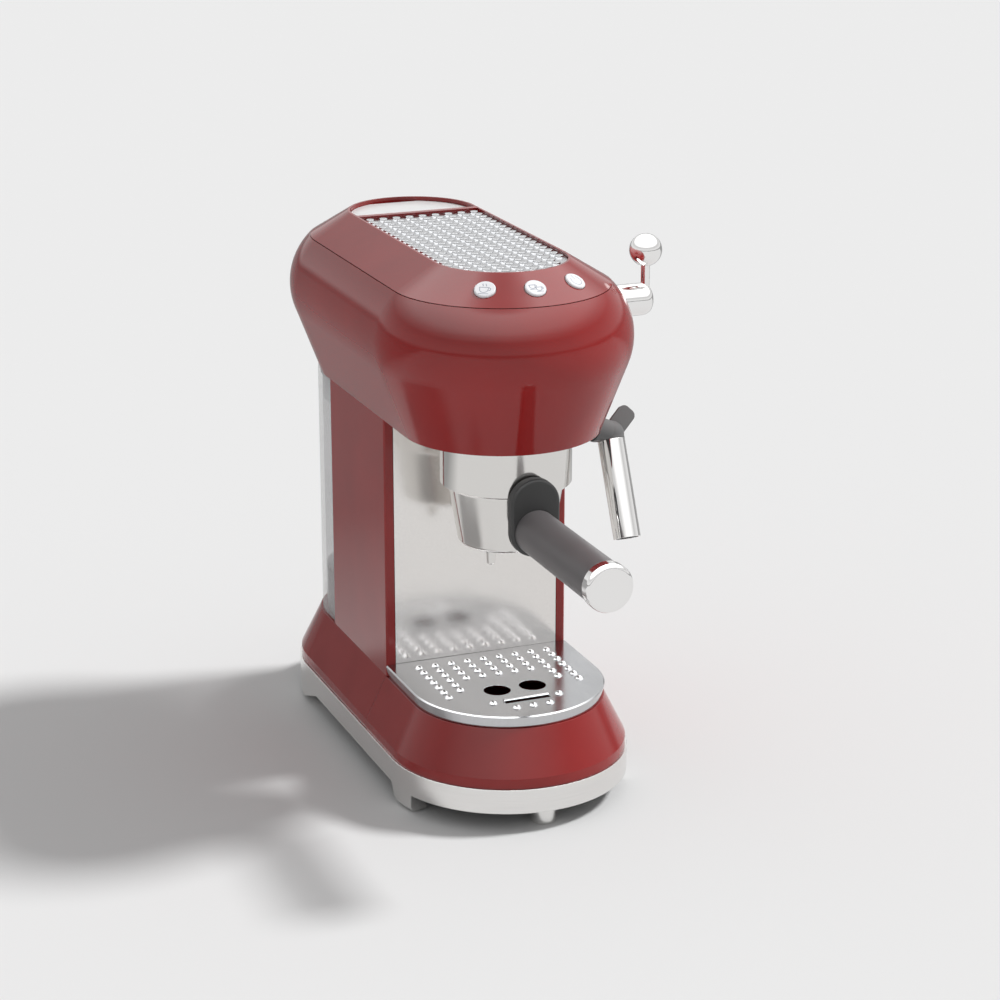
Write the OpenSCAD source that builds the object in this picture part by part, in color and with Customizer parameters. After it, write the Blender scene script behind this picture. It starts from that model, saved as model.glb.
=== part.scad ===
// Countertop espresso machine: domed head on a slim column, slanted base with a pull-out drip tray.
// Millimetres. X to the machine's right, Y to its rear, Z up. The origin is on the table, mid-base.

/* [Base] */
// Width of the base
base_w = 136.8; // [133:0.2:140]
// Length of the base, front to back
base_l = 292.8; // [288:0.2:298]
// Height of the feet below the steel band
foot_h = 11; // [9.5:0.5:13]
// Height of the steel band
band_h = 14; // [13:0.5:16]
// Thickness of the steel band
band_t = 2; // [1.6:0.1:2.2]
// How far the red shells step in from the band
skirt_step = 1; // [0.6:0.1:1.4]
// Height of the upright strip of the red shells
skirt_h = 5.8; // [4.5:0.1:7]
// Height of the slanted red face
slant_h = 25; // [23:0.5:28]
// Thickness of the foot rubbers
pad_t = 0.8; // [0.6:0.1:1]
// Distance of the front stud foot from the middle of the base
stud_y = 133.2; // [131:0.1:134]
// Radius of the front stud foot
stud_r = 7.2; // [6.6:0.1:7.8]

/* [Column] */
// Width of the column, which is also the flat top of the base and the mouth of the head
column_w = 110; // [108.5:0.1:111]
// Height of the column
column_h = 152.3; // [149:0.1:156]
// Distance of the column's front face in front of the middle of the base
column_front = 33; // [31.5:0.1:34]
// Distance of the column's rear face behind the middle of the base
column_rear = 60; // [58.5:0.1:60.5]
// Width of the red strip on either side of the steel panel
strip_w = 5.3; // [4.6:0.1:6]
// Thickness of the steel front panel
panel_t = 1.2; // [0.8:0.1:1.5]

/* [Head] */
// Height of the head
head_h = 95.2; // [94.6:0.1:96]
// Width of the head at its widest
head_w = 144.8; // [144:0.1:146]
// Radius of the bulge seen in section
bulge_r = 39.1; // [38.6:0.1:39.6]
// Height of the bulge's centre above the head's lower edge
bulge_z = 52.9; // [52.5:0.1:53.4]
// Height of the seam of the top cover above the head's lower edge
seam_z = 81.2; // [80.8:0.1:81.6]
// Centre of the head's front round, in front of the middle of the base
head_front = 70; // [69:0.1:71]
// Centre of the head's rear round, behind the middle of the base
head_rear = 67.5; // [66.5:0.1:68.5]
// Radius of the well in the top, inside its rim
well_r = 36.4; // [36:0.1:36.8]
// Width of the flat rim round the well
rim_w = 1.3; // [1:0.1:1.6]
// Depth of the ledge that carries the warming plate and the lid
ledge_drop = 4.8; // [4.6:0.1:5.2]
// Depth of the warming plate's face below the rim
plate_drop = 1.6; // [1.4:0.1:2]
// Radius of the warming plate's bumps at their foot
stud_bump_r = 2.6; // [2.3:0.1:2.8]
// Height of the warming plate's bumps
stud_bump_h = 1.1; // [0.8:0.1:1.2]
// Front face of the bridge across the well
bridge_y = 57; // [56:0.5:59]
// Width of the bridge
bridge_w = 4.3; // [4:0.1:5]

/* [Walls and clearances] */
// Wall of the moulded shells
shell_t = 2.4; // [2:0.1:2.6]
// Gap between neighbouring shells
shell_gap = 0.3; // [0.2:0.05:0.4]
// Radial clearance of turning and sliding fits
fit = 0.05; // [0.03:0.01:0.08]

/* [Drip tray and grid] */
// Height of the grid above the flat top of the base
grid_h = 6.8; // [6:0.1:8]
// Thickness of the grid's sheet
grid_t = 1.3; // [1:0.1:1.6]
// How far the grid's rim leans outwards
rim_flare = 1.4; // [1:0.1:1.8]
// Distance between neighbouring bumps, side to side
bump_dx = 9.8; // [9:0.1:10.4]
// Distance between rows of bumps, front to back
bump_dy = 8; // [7.4:0.1:8.2]
// Radius of a bump at its foot
bump_r = 2.7; // [2.4:0.1:3]
// Height of a bump
bump_h = 1.6; // [1.2:0.1:1.8]
// Radius of the two drain holes
drain_r = 7.6; // [6.5:0.1:8.5]
// Distance of each drain hole from the centre line
drain_x = 10.6; // [10:0.1:12]

/* [Brewing group] */
// Distance of the group's axis in front of the middle of the base
group_y = 77.5; // [76.5:0.1:78]
// Outer radius of the group housing
group_r = 36.3; // [35.9:0.1:36.7]
// How far the group housing hangs below the head
group_drop = 28.1; // [27:0.1:29]
// Radius of the filter holder's bowl at its top
bowl_r = 31.6; // [31.2:0.1:31.9]
// Radius of the bowl at its bottom
bowl_bottom_r = 26.7; // [26:0.1:27.4]
// Depth of the bowl below the group housing
bowl_depth = 34.3; // [33.5:0.1:35]
// Wall of the bowl
bowl_t = 2.6; // [2.3:0.1:2.9]
// Height of the bowl's locking lugs
lug_h = 3.2; // [2.8:0.1:3.6]
// Angle that the filter holder turns to unlock
unlock_angle = 45; // [40:1:50]

/* [Filter holder handle] */
// Height of the handle's axis above the bottom of the bowl
handle_rise = 17.7; // [17:0.1:18.4]
// Radius of the grip
grip_r = 12.4; // [11.8:0.1:12.8]
// Length of the grip
grip_l = 91; // [85:0.5:97]
// Radius of the grip's steel cap
cap_r = 13.2; // [12.9:0.1:13.6]
// Length of the steel cap
cap_l = 6.9; // [6:0.1:8]
// Width of the thumb guard
guard_w = 28; // [27:0.1:30]
// Height of the thumb guard
guard_h = 43.5; // [42:0.1:45]
// Thickness of the thumb guard
guard_t = 7; // [6:0.1:8]
// Radius of the neck between bowl and guard
neck_r = 9; // [8:0.1:10]

/* [Steam lever] */
// Distance of the lever's axis in front of the middle of the base
lever_y = 65; // [64:0.1:66]
// Height of the lever's axis above the head's lower edge
lever_z = 63.3; // [62.5:0.1:64]
// Radius of the lever's hub
hub_r = 9; // [8.6:0.1:9.4]
// Reach of the hub's end from the centre line
hub_x = 91.4; // [89:0.1:94]
// Radius of the lever's stem
stem_r = 2.45; // [2.2:0.05:2.7]
// Radius of the lever's ball
ball_r = 9.1; // [8.6:0.1:9.6]
// Height of the ball's centre above the lever's axis
ball_z = 27.6; // [26:0.1:29]

/* [Steam wand] */
// Distance of the wand's bend from the centre line
wand_x = 63.7; // [63.3:0.1:64.3]
// Distance of the bend in front of the middle of the base
wand_y = 75.1; // [74.5:0.1:75.7]
// Distance of the bend below the head's lower edge
wand_drop = 9.7; // [9.6:0.1:10.4]
// Forward lean of the wand
wand_lean = 24.8; // [20:0.1:30]
// Rise of the wand's swivel axis towards the head
swivel_rise = 24; // [23:0.5:25]
// Radius of the wand's sleeve
sleeve_r = 7.6; // [7.3:0.1:7.9]
// Length of the sleeve
sleeve_l = 55.4; // [50:0.1:58]
// Wall of the sleeve
sleeve_t = 1.2; // [0.9:0.1:1.4]
// Radius of the steam tube inside the sleeve
tube_r = 2.5; // [2.2:0.1:2.6]

/* [Buttons] */
// Radius of a button
button_r = 5.75; // [5.5:0.05:6]
// How far a button stands out of the cover
button_proud = 1.2; // [1.1:0.05:1.5]
// Travel of a button
button_travel = 1; // [0.8:0.1:1]
// Angle between neighbouring buttons round the head's front
button_angle = 31.5; // [30:0.5:34]
// Distance of the buttons from the centre of the head's front round
button_ring = 48.8; // [48.2:0.1:49.4]

/* [Water tank] */
// How far the tank's sides step in from the column's
tank_step = 1.2; // [0.6:0.1:2]
// Wall of the tank
tank_t = 2.5; // [2.2:0.1:2.8]
// Height of the plinth inside the tank's skirt
plinth_h = 26.9; // [25:0.1:28]
// Height of the tank's outlet above the plinth
outlet_z = 10.3; // [9.8:0.1:12]
// Radius of the coupling's spigot
spigot_r = 5; // [4.6:0.1:5.4]
// Depth of the tank cover's skirt
cover_skirt = 15.4; // [13:0.1:17]

/* [Boiler and pump] */
// Radius of the boiler
boiler_r = 31; // [29:0.5:32]
// Height of the boiler
boiler_h = 49; // [46:0.5:51]
// Radius of the pump's coil
pump_r = 17; // [15:0.5:18]
// Height of the pump's coil
pump_h = 50; // [46:0.5:54]
// Radius of the hose barbs
barb_r = 3.5; // [3:0.1:3.8]

/* [Hidden] */
$fn = 96;
e = 1; // overrun of cutting tools

base_r = base_w / 2;
arc_y = base_l / 2 - base_r;
band_z = foot_h;
band_top = band_z + band_h;
skirt_r = base_r - skirt_step;
skirt_z = band_top + shell_gap;
slant_z = band_top + skirt_h;
base_top = slant_z + slant_h;
half_w = column_w / 2;
seam_y = -column_front + 1.6;
deck_t = 2.4;
deck_z = band_top - 0.2 - deck_t;
cover_t = 2;
cover_z = band_z + 0.4;
inner_r = base_r - band_t - 0.2;
gland_r = 4.3;
nut_r = gland_r + 0.8;
cord_r = 3.1;
gland_z = cover_z + cover_t + nut_r;

head_z = base_top + column_h;
top_z = head_z + head_h;
bulge_x = head_w / 2 - bulge_r;
bulge_c = [bulge_x, head_z + bulge_z];
mouth = [half_w, head_z];
mouth_d = norm(mouth - bulge_c);
flare_a = atan2(mouth[1] - bulge_c[1], mouth[0] - bulge_c[0]) + acos(bulge_r / mouth_d);
seam_a = asin((seam_z - bulge_z) / bulge_r);
seam_r = bulge_x + bulge_r * cos(seam_a);
seam_h = head_z + seam_z;
rim_r = well_r + rim_w;
slope_a = atan2(top_z - seam_h, seam_r - rim_r);
ledge_z = top_z - ledge_drop;
ledge_w = 2;
collar_t = 2.4;
under_t = 2.4;
under_z = head_z + 1;
under_top = under_z + under_t;
bridge_rear = bridge_y + bridge_w;

group_z = head_z - group_drop;
lug_z = group_z + 4.3;
lug_r = group_r - 1.8;
rim_z = group_z + 9;
bowl_z = group_z - bowl_depth;
handle_z = bowl_z + handle_rise;
guard_y = -group_y - group_r - 0.6;
grip_y = guard_y - guard_t;
cap_y = grip_y - grip_l;
stud_bolt_r = 4;

lever = [0, -lever_y, head_z + lever_z];
stem_x = hub_x - 3.2;
hub_x0 = 62;
hub_round = 5.8;

bend = [wand_x, -wand_y, head_z - wand_drop];
sleeve_gap = 3.2;
post_x = 46;

grid_z = base_top + grid_h;
grid_rear = -column_front - 0.3;

tank_r = half_w - tank_step;
tank_y = column_rear + 0.5;
tank_z = base_top + shell_gap;
floor_z = base_top + plinth_h + shell_gap;
floor_t = 2.5;
outlet_h = floor_z + outlet_z;
tank_top = head_z - 0.7;
mouth_y = 90;
mouth_r = 17;

boiler_z = under_top + 1.5;
pump_y = 15;
pump_z = outlet_h + 26;
neck_h = 8;
hose_bend = 12;

// ---------- shared shapes ----------

// Sweeps a half section (x outwards, y up) round one end of an oval track.
module round_end(y, at_rear) {
    translate([0, y, 0])
        rotate([0, 0, at_rear ? 0 : 180])
            rotate_extrude(angle = 180)
                children();
}

// Runs the same half section along both straight sides of the track.
module straight_sides(y0, y1) {
    for (side = [0, 1])
        mirror([side, 0, 0])
            translate([0, y1, 0])
                rotate([90, 0, 0])
                    linear_extrude(y1 - y0)
                        children();
}

// A whole oval track between two arc centres.
module track(y0, y1) {
    round_end(y0, false) children();
    straight_sides(y0, y1) children();
    round_end(y1, true) children();
}

// An oval outline between two arc centres.
module oval(r, y0, y1) {
    translate([0, y0])
        circle(r);
    translate([0, y1])
        circle(r);
    translate([-r, y0])
        square([2 * r, y1 - y0]);
}

// An oval with a flat front: a round rear end and straight sides from y0.
module d_shape(r, y0, y1) {
    intersection() {
        oval(r, y0 - r, y1);
        translate([-r - e, y0])
            square([2 * r + 2 * e, y1 + r - y0 + e]);
    }
}

module slab(z, h) {
    translate([0, 0, z])
        linear_extrude(h)
            children();
}

// A cylinder that starts at p and runs along an axis: "x", "y" or "z", or back along it with h < 0.
module rod(p, r, h, axis = "z") {
    turn = axis == "x" ? [0, 90, 0] : axis == "y" ? [-90, 0, 0] : [0, 0, 0];
    translate(p)
        rotate(turn)
            translate([0, 0, min(h, 0)])
                cylinder(r = r, h = abs(h));
}

module box(p, q) {
    translate(p)
        cube(q - p);
}

// A quarter bend in the YZ plane, from the underside of its centre to its front.
module quarter_bend(centre, bend_r, r) {
    translate(centre)
        rotate([0, 90, 0])
            rotate([0, 0, -90])
                rotate_extrude(angle = 90)
                    translate([bend_r, 0])
                        circle(r);
}

// ---------- base ----------

module foot_side(y_sign, points) {
    rotate([90, 0, 90])
        translate([0, 0, -base_r])
            linear_extrude(2 * base_r)
                polygon([for (p = points) [y_sign * (arc_y + p[0]), p[1]]]);
}

foot_t = 11;
foot_round = 3;
foot_end = 18; // angle of the front feet's blunt ends round the arc

module foot_section() {
    r0 = base_r - foot_t;
    translate([r0, pad_t + foot_round])
        square([foot_t, band_z + e - pad_t - foot_round]);
    translate([r0, pad_t])
        square([foot_t - foot_round, foot_h]);
    translate([base_r - foot_round, pad_t + foot_round])
        circle(foot_round);
}

module feet(section_top) {
    difference() {
        intersection() {
            track(-arc_y, arc_y)
                foot_section();
            union() {
                // steep at the back
                foot_side(-1, [
                    [-4, section_top], [-1.2, foot_h * 0.97], [0.7, foot_h * 0.72], [1.9, foot_h * 0.45],
                    [3, foot_h * 0.2], [5, pad_t], [30, pad_t], [30, section_top]
                ]);
                // a long gusset at the front
                foot_side(1, [
                    [-20, section_top], [8, foot_h * 0.15], [12, pad_t],
                    [27, pad_t], [31, foot_h * 0.2], [35, section_top]
                ]);
            }
        }
        // blunt front ends
        for (side = [0, 1])
            mirror([side, 0, 0])
                translate([0, -arc_y, -e])
                    rotate([0, 0, 180 + foot_end])
                        cube([2 * base_r, 2 * base_r, band_z + 3 * e]);
    }
}

module base_band() {
    color("lightgray")
        difference() {
            union() {
                track(-arc_y, arc_y)
                    translate([base_r - band_t, band_z])
                        square([band_t, band_h]);
                feet(band_z + 0.3);
            }
            rod([0, arc_y + base_r - band_t - e, gland_z], gland_r + 0.2, band_t + 2 * e, "y");
        }
}

module foot_pads() {
    color("dimgray")
        intersection() {
            track(-arc_y, arc_y)
                translate([base_r - foot_t + 0.8, 0])
                    square([foot_t - foot_round - 1, pad_t]);
            union() {
                foot_side(-1, [[7, 0], [7, pad_t], [16.5, pad_t], [16.5, 0]]);
                foot_side(1, [[13, 0], [13, pad_t], [26, pad_t], [26, 0]]);
            }
        }
}

module stud_foot() {
    round = 0.8;
    color("lightgray")
        translate([0, -stud_y, 0])
            rotate_extrude() {
                square([stud_r - round, cover_z]);
                translate([0, round])
                    square([stud_r, cover_z - round]);
                translate([stud_r - round, round])
                    circle(round);
            }
}

screw_at = [for (x = [-1, 1], y = [-95, 0, 95]) [x * 42, y]];
screw_r = 1.5;

module bottom_cover() {
    color("dimgray")
        difference() {
            slab(cover_z, cover_t)
                oval(inner_r, -arc_y, arc_y);
            for (p = screw_at)
                rod([p[0], p[1], cover_z - e], screw_r + 0.3, cover_t + 2 * e);
            for (i = [-5 : 5])
                box([-24, i * 7 - 1.2, cover_z - e], [24, i * 7 + 1.2, cover_z + cover_t + e]);
        }
}

module bottom_screws() {
    color("silver")
        for (p = screw_at) {
            rod([p[0], p[1], cover_z - 1.6], 2.8, 1.6);
            rod([p[0], p[1], cover_z], screw_r, cover_t + 6);
        }
}

module base_deck() {
    color("dimgray")
        difference() {
            union() {
                slab(deck_z, deck_t)
                    oval(inner_r, -arc_y, arc_y);
                for (p = screw_at)
                    rod([p[0], p[1], cover_z + cover_t], 4, deck_z - cover_z - cover_t + e);
            }
            for (p = screw_at)
                rod([p[0], p[1], cover_z], screw_r, cover_t + 6.5);
            box([-30, 10, deck_z - e], [30, 50, deck_z + deck_t + e]);
            box([-8, arc_y + inner_r - 11, deck_z - e], [8, arc_y + base_r, deck_z + deck_t + e]);
        }
}

// Outline of the red base shells in half section, moved in by a wall.
module base_outline(inset, z0, z1) {
    lean = atan2(skirt_r - half_w, slant_h);
    shift = inset / cos(lean);
    drop = inset * tan(lean / 2);
    polygon([
        [0, z0],
        [skirt_r - inset, z0],
        [skirt_r - inset, slant_z - drop],
        [half_w - shift + (base_top - z1) * tan(lean), z1],
        [0, z1]
    ]);
}

module front_shape(inset, z0, z1, rear) {
    round_end(-arc_y, false)
        base_outline(inset, z0, z1);
    straight_sides(-arc_y, rear)
        base_outline(inset, z0, z1);
}

module rear_shape(inset, z0, z1, front) {
    round_end(arc_y, true)
        base_outline(inset, z0, z1);
    straight_sides(front, arc_y)
        base_outline(inset, z0, z1);
}

module rear_base_shell() {
    front = seam_y + shell_gap;
    color("firebrick")
        difference() {
            rear_shape(0, skirt_z, base_top, front);
            rear_shape(shell_t, skirt_z - e, base_top - shell_t, front + shell_t);
            box([-30, -12, base_top - shell_t - e], [30, 48, base_top + e]);
        }
}

module cord_gland() {
    rear = arc_y + base_r;
    color("dimgray")
        difference() {
            union() {
                rod([0, rear - 12, gland_z], gland_r, 12.4, "y");
                rod([0, rear + 0.2, gland_z], gland_r + 1.2, 2.4, "y");
                rod([0, rear - band_t - 2.6, gland_z], nut_r, 2.4, "y");
            }
            rod([0, rear - 12 - e, gland_z], cord_r, 16, "y");
        }
}

// ---------- drip tray and grid ----------

tray_z = deck_z + deck_t + shell_gap;
tray_top = base_top - shell_gap;

module drip_tray() {
    color("firebrick")
        difference() {
            front_shape(0, tray_z, tray_top, seam_y);
            front_shape(shell_t, tray_z + shell_t, tray_top + e, seam_y - shell_t);
        }
}

// Raised round bumps at a list of points on a sheet whose top is at z.
module bumps(points, z, r, h) {
    ball = (r * r + h * h) / (2 * h);
    intersection() {
        for (p = points)
            translate([p[0], p[1], z + h - ball])
                sphere(ball);
        box([-base_r, -base_l, z - 0.4], [base_r, base_l, z + h + e]);
    }
}

// Rim of the grid in half section, leaning outwards, with the sheet at its top.
module grid_section() {
    foot = half_w - 0.9;
    edge = 0.7;
    polygon([
        [0, grid_z - grid_t],
        [foot + rim_flare - grid_t - 0.3, grid_z - grid_t],
        [foot - grid_t, base_top],
        [foot, base_top],
        [foot + rim_flare, grid_z - edge],
        [foot + rim_flare - edge, grid_z],
        [0, grid_z]
    ]);
}

// Columns of bumps: the outer ones run furthest forwards, and the middle ones leave room to pour.
function bump_rows(column) = abs(column) == 4 ? 7 : abs(column) == 3 ? 6 : 4;

bump_y0 = -43.3;
drain_y = -91.4;
slot_y = -109;
slot_l = 26.5;
slot_w = 2.4;
grid_points = concat(
    [for (column = [-4 : 4], row = [0 : bump_rows(column) - 1]) [column * bump_dx, bump_y0 - row * bump_dy]],
    [for (column = [-2 : 2]) [column * bump_dx, abs(column) == 2 ? slot_y + 1 : slot_y - 9.4]]
);

module drip_grid() {
    color("gainsboro")
        difference() {
            union() {
                round_end(-arc_y, false)
                    grid_section();
                straight_sides(-arc_y, grid_rear)
                    grid_section();
                box([3 - half_w, grid_rear - grid_t, base_top], [half_w - 3, grid_rear, grid_z - e]);
                bumps(grid_points, grid_z, bump_r, bump_h);
                // lip over the slot
                intersection() {
                    rod([-slot_l / 2, slot_y + 1.4, grid_z - 0.6], 1.8, slot_l, "x");
                    box([-slot_l, slot_y, grid_z - grid_t], [slot_l, slot_y + 4, grid_z + 3]);
                }
            }
            for (x = [-drain_x, drain_x])
                rod([x, drain_y, grid_z - grid_t - e], drain_r, grid_t + 2 * e);
            box([-slot_l / 2, slot_y - slot_w, grid_z - grid_t - e], [slot_l / 2, slot_y, grid_z + e]);
        }
}

// ---------- column ----------

module column_plan(inset) {
    translate([inset - half_w, inset - column_front])
        square([column_w - 2 * inset, column_front + column_rear - 2 * inset]);
}

module column_shell() {
    open_w = column_w - 2 * strip_w;
    edge = 0.8;
    color("firebrick")
        difference() {
            slab(base_top, column_h)
                difference() {
                    column_plan(0);
                    column_plan(shell_t);
                    translate([-open_w / 2, -column_front - e])
                        square([open_w, shell_t + 2 * e]);
                    for (side = [-1, 1])
                        translate([side * half_w, -column_front])
                            rotate(45)
                                square(edge * sqrt(2), center = true);
                }
            rod([0, column_rear - shell_t - e, outlet_h], spigot_r + 1.8, shell_t + 2 * e, "y");
        }
}

panel_y = -column_front + 0.1;

module front_panel() {
    w = column_w / 2 - strip_w - shell_gap;
    color("gainsboro")
        box([-w, panel_y, base_top + 0.4], [w, panel_y + panel_t, head_z - 0.2]);
}

frame_t = 1.6;
frame_x = half_w - shell_t - 5;
frame_y0 = panel_y + panel_t + 0.3;
frame_y1 = column_rear - shell_t - 3;

module support_frame() {
    plate_top = under_top + frame_t;
    color("silver")
        difference() {
            union() {
                for (side = [-1, 1])
                    translate([side * (frame_x - frame_t / 2) - frame_t / 2, frame_y0, base_top])
                        cube([frame_t, frame_y1 - frame_y0, plate_top - base_top]);
                box([-frame_x, frame_y0, base_top], [frame_x, frame_y0 + frame_t, head_z]);
                box([-frame_x, frame_y0, base_top], [frame_x, frame_y1, base_top + frame_t]);
                box([-frame_x - 3, frame_y0, under_top], [frame_x + 3, frame_y1, plate_top]);
                for (p = board_posts)
                    rod([p[0], p[1], plate_top - frame_t / 2], 2.5, board_z - plate_top + frame_t / 2);
            }
            box([-25, -8, base_top - e], [25, 44, base_top + frame_t + e]);
            box([-9, -10, under_top - e], [frame_x - 8, 44, plate_top + e]);
        }
}

// ---------- water tank ----------

module tank_plinth() {
    color("dimgray")
        slab(base_top, plinth_h)
            d_shape(tank_r - tank_t - 0.8, column_rear + shell_gap, arc_y);
}

module tank_coupling() {
    wall = column_rear - shell_t;
    color("dimgray")
        difference() {
            union() {
                rod([0, wall - 3, outlet_h], spigot_r + 4, 3, "y");
                rod([0, wall - e, outlet_h], spigot_r + 1.5, shell_t + e, "y");
                rod([0, wall, outlet_h], spigot_r, shell_t + 8.5, "y");
                rod([0, wall - 14, outlet_h], barb_r, 14, "y");
            }
            rod([0, wall - 15, outlet_h], barb_r - 1.4, 40, "y");
            translate([0, column_rear + 6, outlet_h])
                rotate([-90, 0, 0])
                    rotate_extrude()
                        translate([seal_ring - seal_r, -1])
                            square([2, 2]);
        }
}

seal_r = 0.7;
seal_ring = spigot_r + 0.02 - seal_r;

module coupling_seal() {
    color("dimgray")
        translate([0, column_rear + 6, outlet_h])
            rotate([-90, 0, 0])
                rotate_extrude()
                    translate([seal_ring, 0])
                        circle(seal_r);
}

module tank_plan(inset) {
    d_shape(tank_r - inset, tank_y + inset, arc_y);
}

module water_tank() {
    boss_r = spigot_r + 3;
    color("lightblue", 0.4)
        difference() {
            union() {
                difference() {
                    slab(tank_z, tank_top - tank_z)
                        tank_plan(0);
                    slab(floor_z + floor_t, tank_top)
                        tank_plan(tank_t);
                    slab(tank_z - e, floor_z - tank_z + e)
                        tank_plan(tank_t);
                    box([tank_t - tank_r, tank_y - e, tank_z - e], [tank_r - tank_t, tank_y + 2 * tank_t, floor_z]);
                    slab(tank_top - 2.6, 2.6 + e)
                        tank_plan(tank_t - 1.2);
                }
                rod([0, tank_y + e / 2, outlet_h], boss_r, 9.5, "y");
            }
            rod([0, tank_y - e, outlet_h], spigot_r + fit, 30, "y");
        }
}

module tank_cover() {
    gap = 0.2;
    color("lightblue", 0.5)
        difference() {
            union() {
                slab(tank_top - 2.4, 2.2)
                    tank_plan(tank_t - 1.2 + gap);
                slab(tank_top - 2.4 - cover_skirt, cover_skirt + e)
                    tank_plan(tank_t + gap);
            }
            slab(tank_top - 2.4 - cover_skirt - e, cover_skirt + e)
                tank_plan(tank_t + gap + 1.4);
            rod([0, mouth_y, tank_top - 3], mouth_r, 4);
        }
}

module outlet_filter() {
    y0 = tank_y + 10.2;
    color("whitesmoke")
        difference() {
            rod([0, y0, outlet_h], spigot_r + 2.4, 12, "y");
            rod([0, y0 - e, outlet_h], spigot_r + 1.2, 11, "y");
            for (a = [0 : 45 : 315])
                translate([0, y0 + 6, outlet_h])
                    rotate([0, a, 0])
                        rod([0, 0, 0], 1.4, 12);
        }
}

// ---------- head ----------

// Half section of the head: flare, round bulge and sloping shoulder, moved in by a wall.
module head_outline(inset, z0) {
    r = bulge_r - inset;
    base_x = half_w - inset / cos(flare_a) + (z0 - head_z) * tan(-flare_a);
    tangent = bulge_c + r * [cos(flare_a), sin(flare_a)];
    seam = bulge_c + r * [cos(seam_a), sin(seam_a)];
    top = top_z - inset;
    run = (top - seam[1]) / tan(slope_a);
    polygon([[0, z0], [base_x, z0], tangent, seam, [seam[0] - run, top], [0, top]]);
    intersection() {
        translate(bulge_c)
            circle(r);
        polygon([bulge_c, bulge_c + 2 * r * [cos(flare_a), sin(flare_a)],
            bulge_c + 2 * r * [1, 0], bulge_c + 2 * r * [cos(seam_a), sin(seam_a)]]);
    }
}

module head_shell() {
    color("firebrick")
        difference() {
            track(-head_front, head_rear)
                difference() {
                    head_outline(0, head_z);
                    head_outline(shell_t, head_z - e);
                    translate([0, seam_h - shell_gap / 2])
                        square([head_w, head_h]);
                }
            translate(lever)
                rod([hub_x0 - e, 0, 0], hub_r + 0.4, head_w / 2, "x");
        }
}

module head_underside() {
    color("dimgray")
        difference() {
            slab(under_z, under_t)
                oval(half_w - shell_t - 0.4, -head_front, head_rear);
            rod([0, -group_y, under_z - e], group_r + 0.4, under_t + 2 * e);
            box([-frame_x - 1, frame_y0 - 1, under_z - e], [frame_x + 1, frame_y1 + 1, under_top + e]);
            rod([0, mouth_y - 4, under_z - e], mouth_r, under_t + 2 * e);
            rod([post_x, -wand_y, under_z - e], post_r + 0.2, under_t + 2 * e);
        }
}

// Places children on the sloping shoulder, at an angle round the head's front, facing outwards.
module on_slope(angle) {
    z = top_z - (button_ring - rim_r) * tan(slope_a);
    translate([0, -head_front, 0])
        rotate([0, 0, angle])
            translate([0, -button_ring, z])
                rotate([slope_a, 0, 0])
                    children();
}

module top_cover() {
    s = tan(slope_a);
    thick = shell_t / cos(slope_a);
    low = seam_h + shell_gap / 2;
    low_r = rim_r + (top_z - low) / s;
    collar_r = well_r + collar_t;
    lip_r = seam_r - shell_t - 2.2;
    color("firebrick")
        difference() {
            union() {
                track(-head_front, head_rear)
                    polygon([
                        [low_r, low],
                        [rim_r, top_z],
                        [well_r, top_z],
                        [well_r, ledge_z],
                        [well_r - ledge_w, ledge_z],
                        [well_r - ledge_w, ledge_z - 1.6],
                        [collar_r, ledge_z - 1.6],
                        [collar_r, top_z - (collar_r - rim_r) * s - thick],
                        [lip_r - 1.6, top_z - (lip_r - 1.6 - rim_r) * s - thick],
                        [lip_r - 1.6, low - 4],
                        [lip_r, low - 4],
                        [lip_r, low]
                    ]);
                box([-well_r - 0.8, bridge_y, ledge_z - 0.8], [well_r + 0.8, bridge_rear, top_z]);
            }
            for (i = [-1 : 1])
                on_slope(i * button_angle)
                    translate([0, 0, -thick - e])
                        cylinder(r = button_r + 0.25, h = thick + 3);
            rod([-well_r - 1.8, hinge_y, hinge_z], pin_r + fit, 2 * well_r + 3.6, "x");
        }
}

plate_t = 1;
plate_wall = 1.2;
plate_z = ledge_z + 0.1;
plate_top = top_z - plate_drop;
plate_r = well_r - 0.3;
stud_dx = 8;
stud_dy = 7.41;
stud_y0 = 50.8;
stud_rows = 21;

// Bump centres of the warming plate that stay clear of its round front edge.
plate_points = [
    for (column = [-4 : 4], row = [0 : stud_rows - 1])
        let (p = [column * stud_dx, stud_y0 - row * stud_dy])
            if (norm([p[0], min(p[1] + head_front, 0)]) < plate_r - 2.8) p
];

// Outline of the warming plate: flat at the rear, round at the front.
module plate_plan(inset) {
    rotate(180)
        d_shape(plate_r - inset, 0.3 + inset - bridge_y, head_front);
}

// A shallow upturned pan with flat-topped bumps.
module cup_warmer_plate() {
    color("gainsboro")
        union() {
            difference() {
                slab(plate_z, plate_top - plate_z)
                    plate_plan(0);
                slab(plate_z - e, plate_top - plate_t - plate_z + e)
                    plate_plan(plate_wall);
            }
            for (p = plate_points)
                translate([p[0], p[1], plate_top - plate_t / 2])
                    cylinder(r1 = stud_bump_r, r2 = stud_bump_r - 0.4, h = plate_t / 2 + stud_bump_h);
        }
}

chute_y = bridge_rear + 1.5;
chute_mouth_y = mouth_y - 4;

module fill_chute() {
    r = well_r - ledge_w - 0.4;
    rim = ledge_z - 1.6 - 0.1;
    bowl_floor = rim - 34;
    color("whitesmoke")
        difference() {
            union() {
                slab(bowl_floor, rim - bowl_floor)
                    d_shape(r, chute_y, head_rear);
                slab(rim - 1.5, 1.5)
                    d_shape(r + 4, chute_y, head_rear);
                rod([0, chute_mouth_y, head_z + 1.4], mouth_r - 1, bowl_floor - head_z);
            }
            slab(bowl_floor + 2, 40)
                d_shape(r - 2, chute_y + 2, head_rear);
            rod([0, chute_mouth_y, head_z], mouth_r - 3, bowl_floor - head_z + 4);
        }
}

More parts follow.
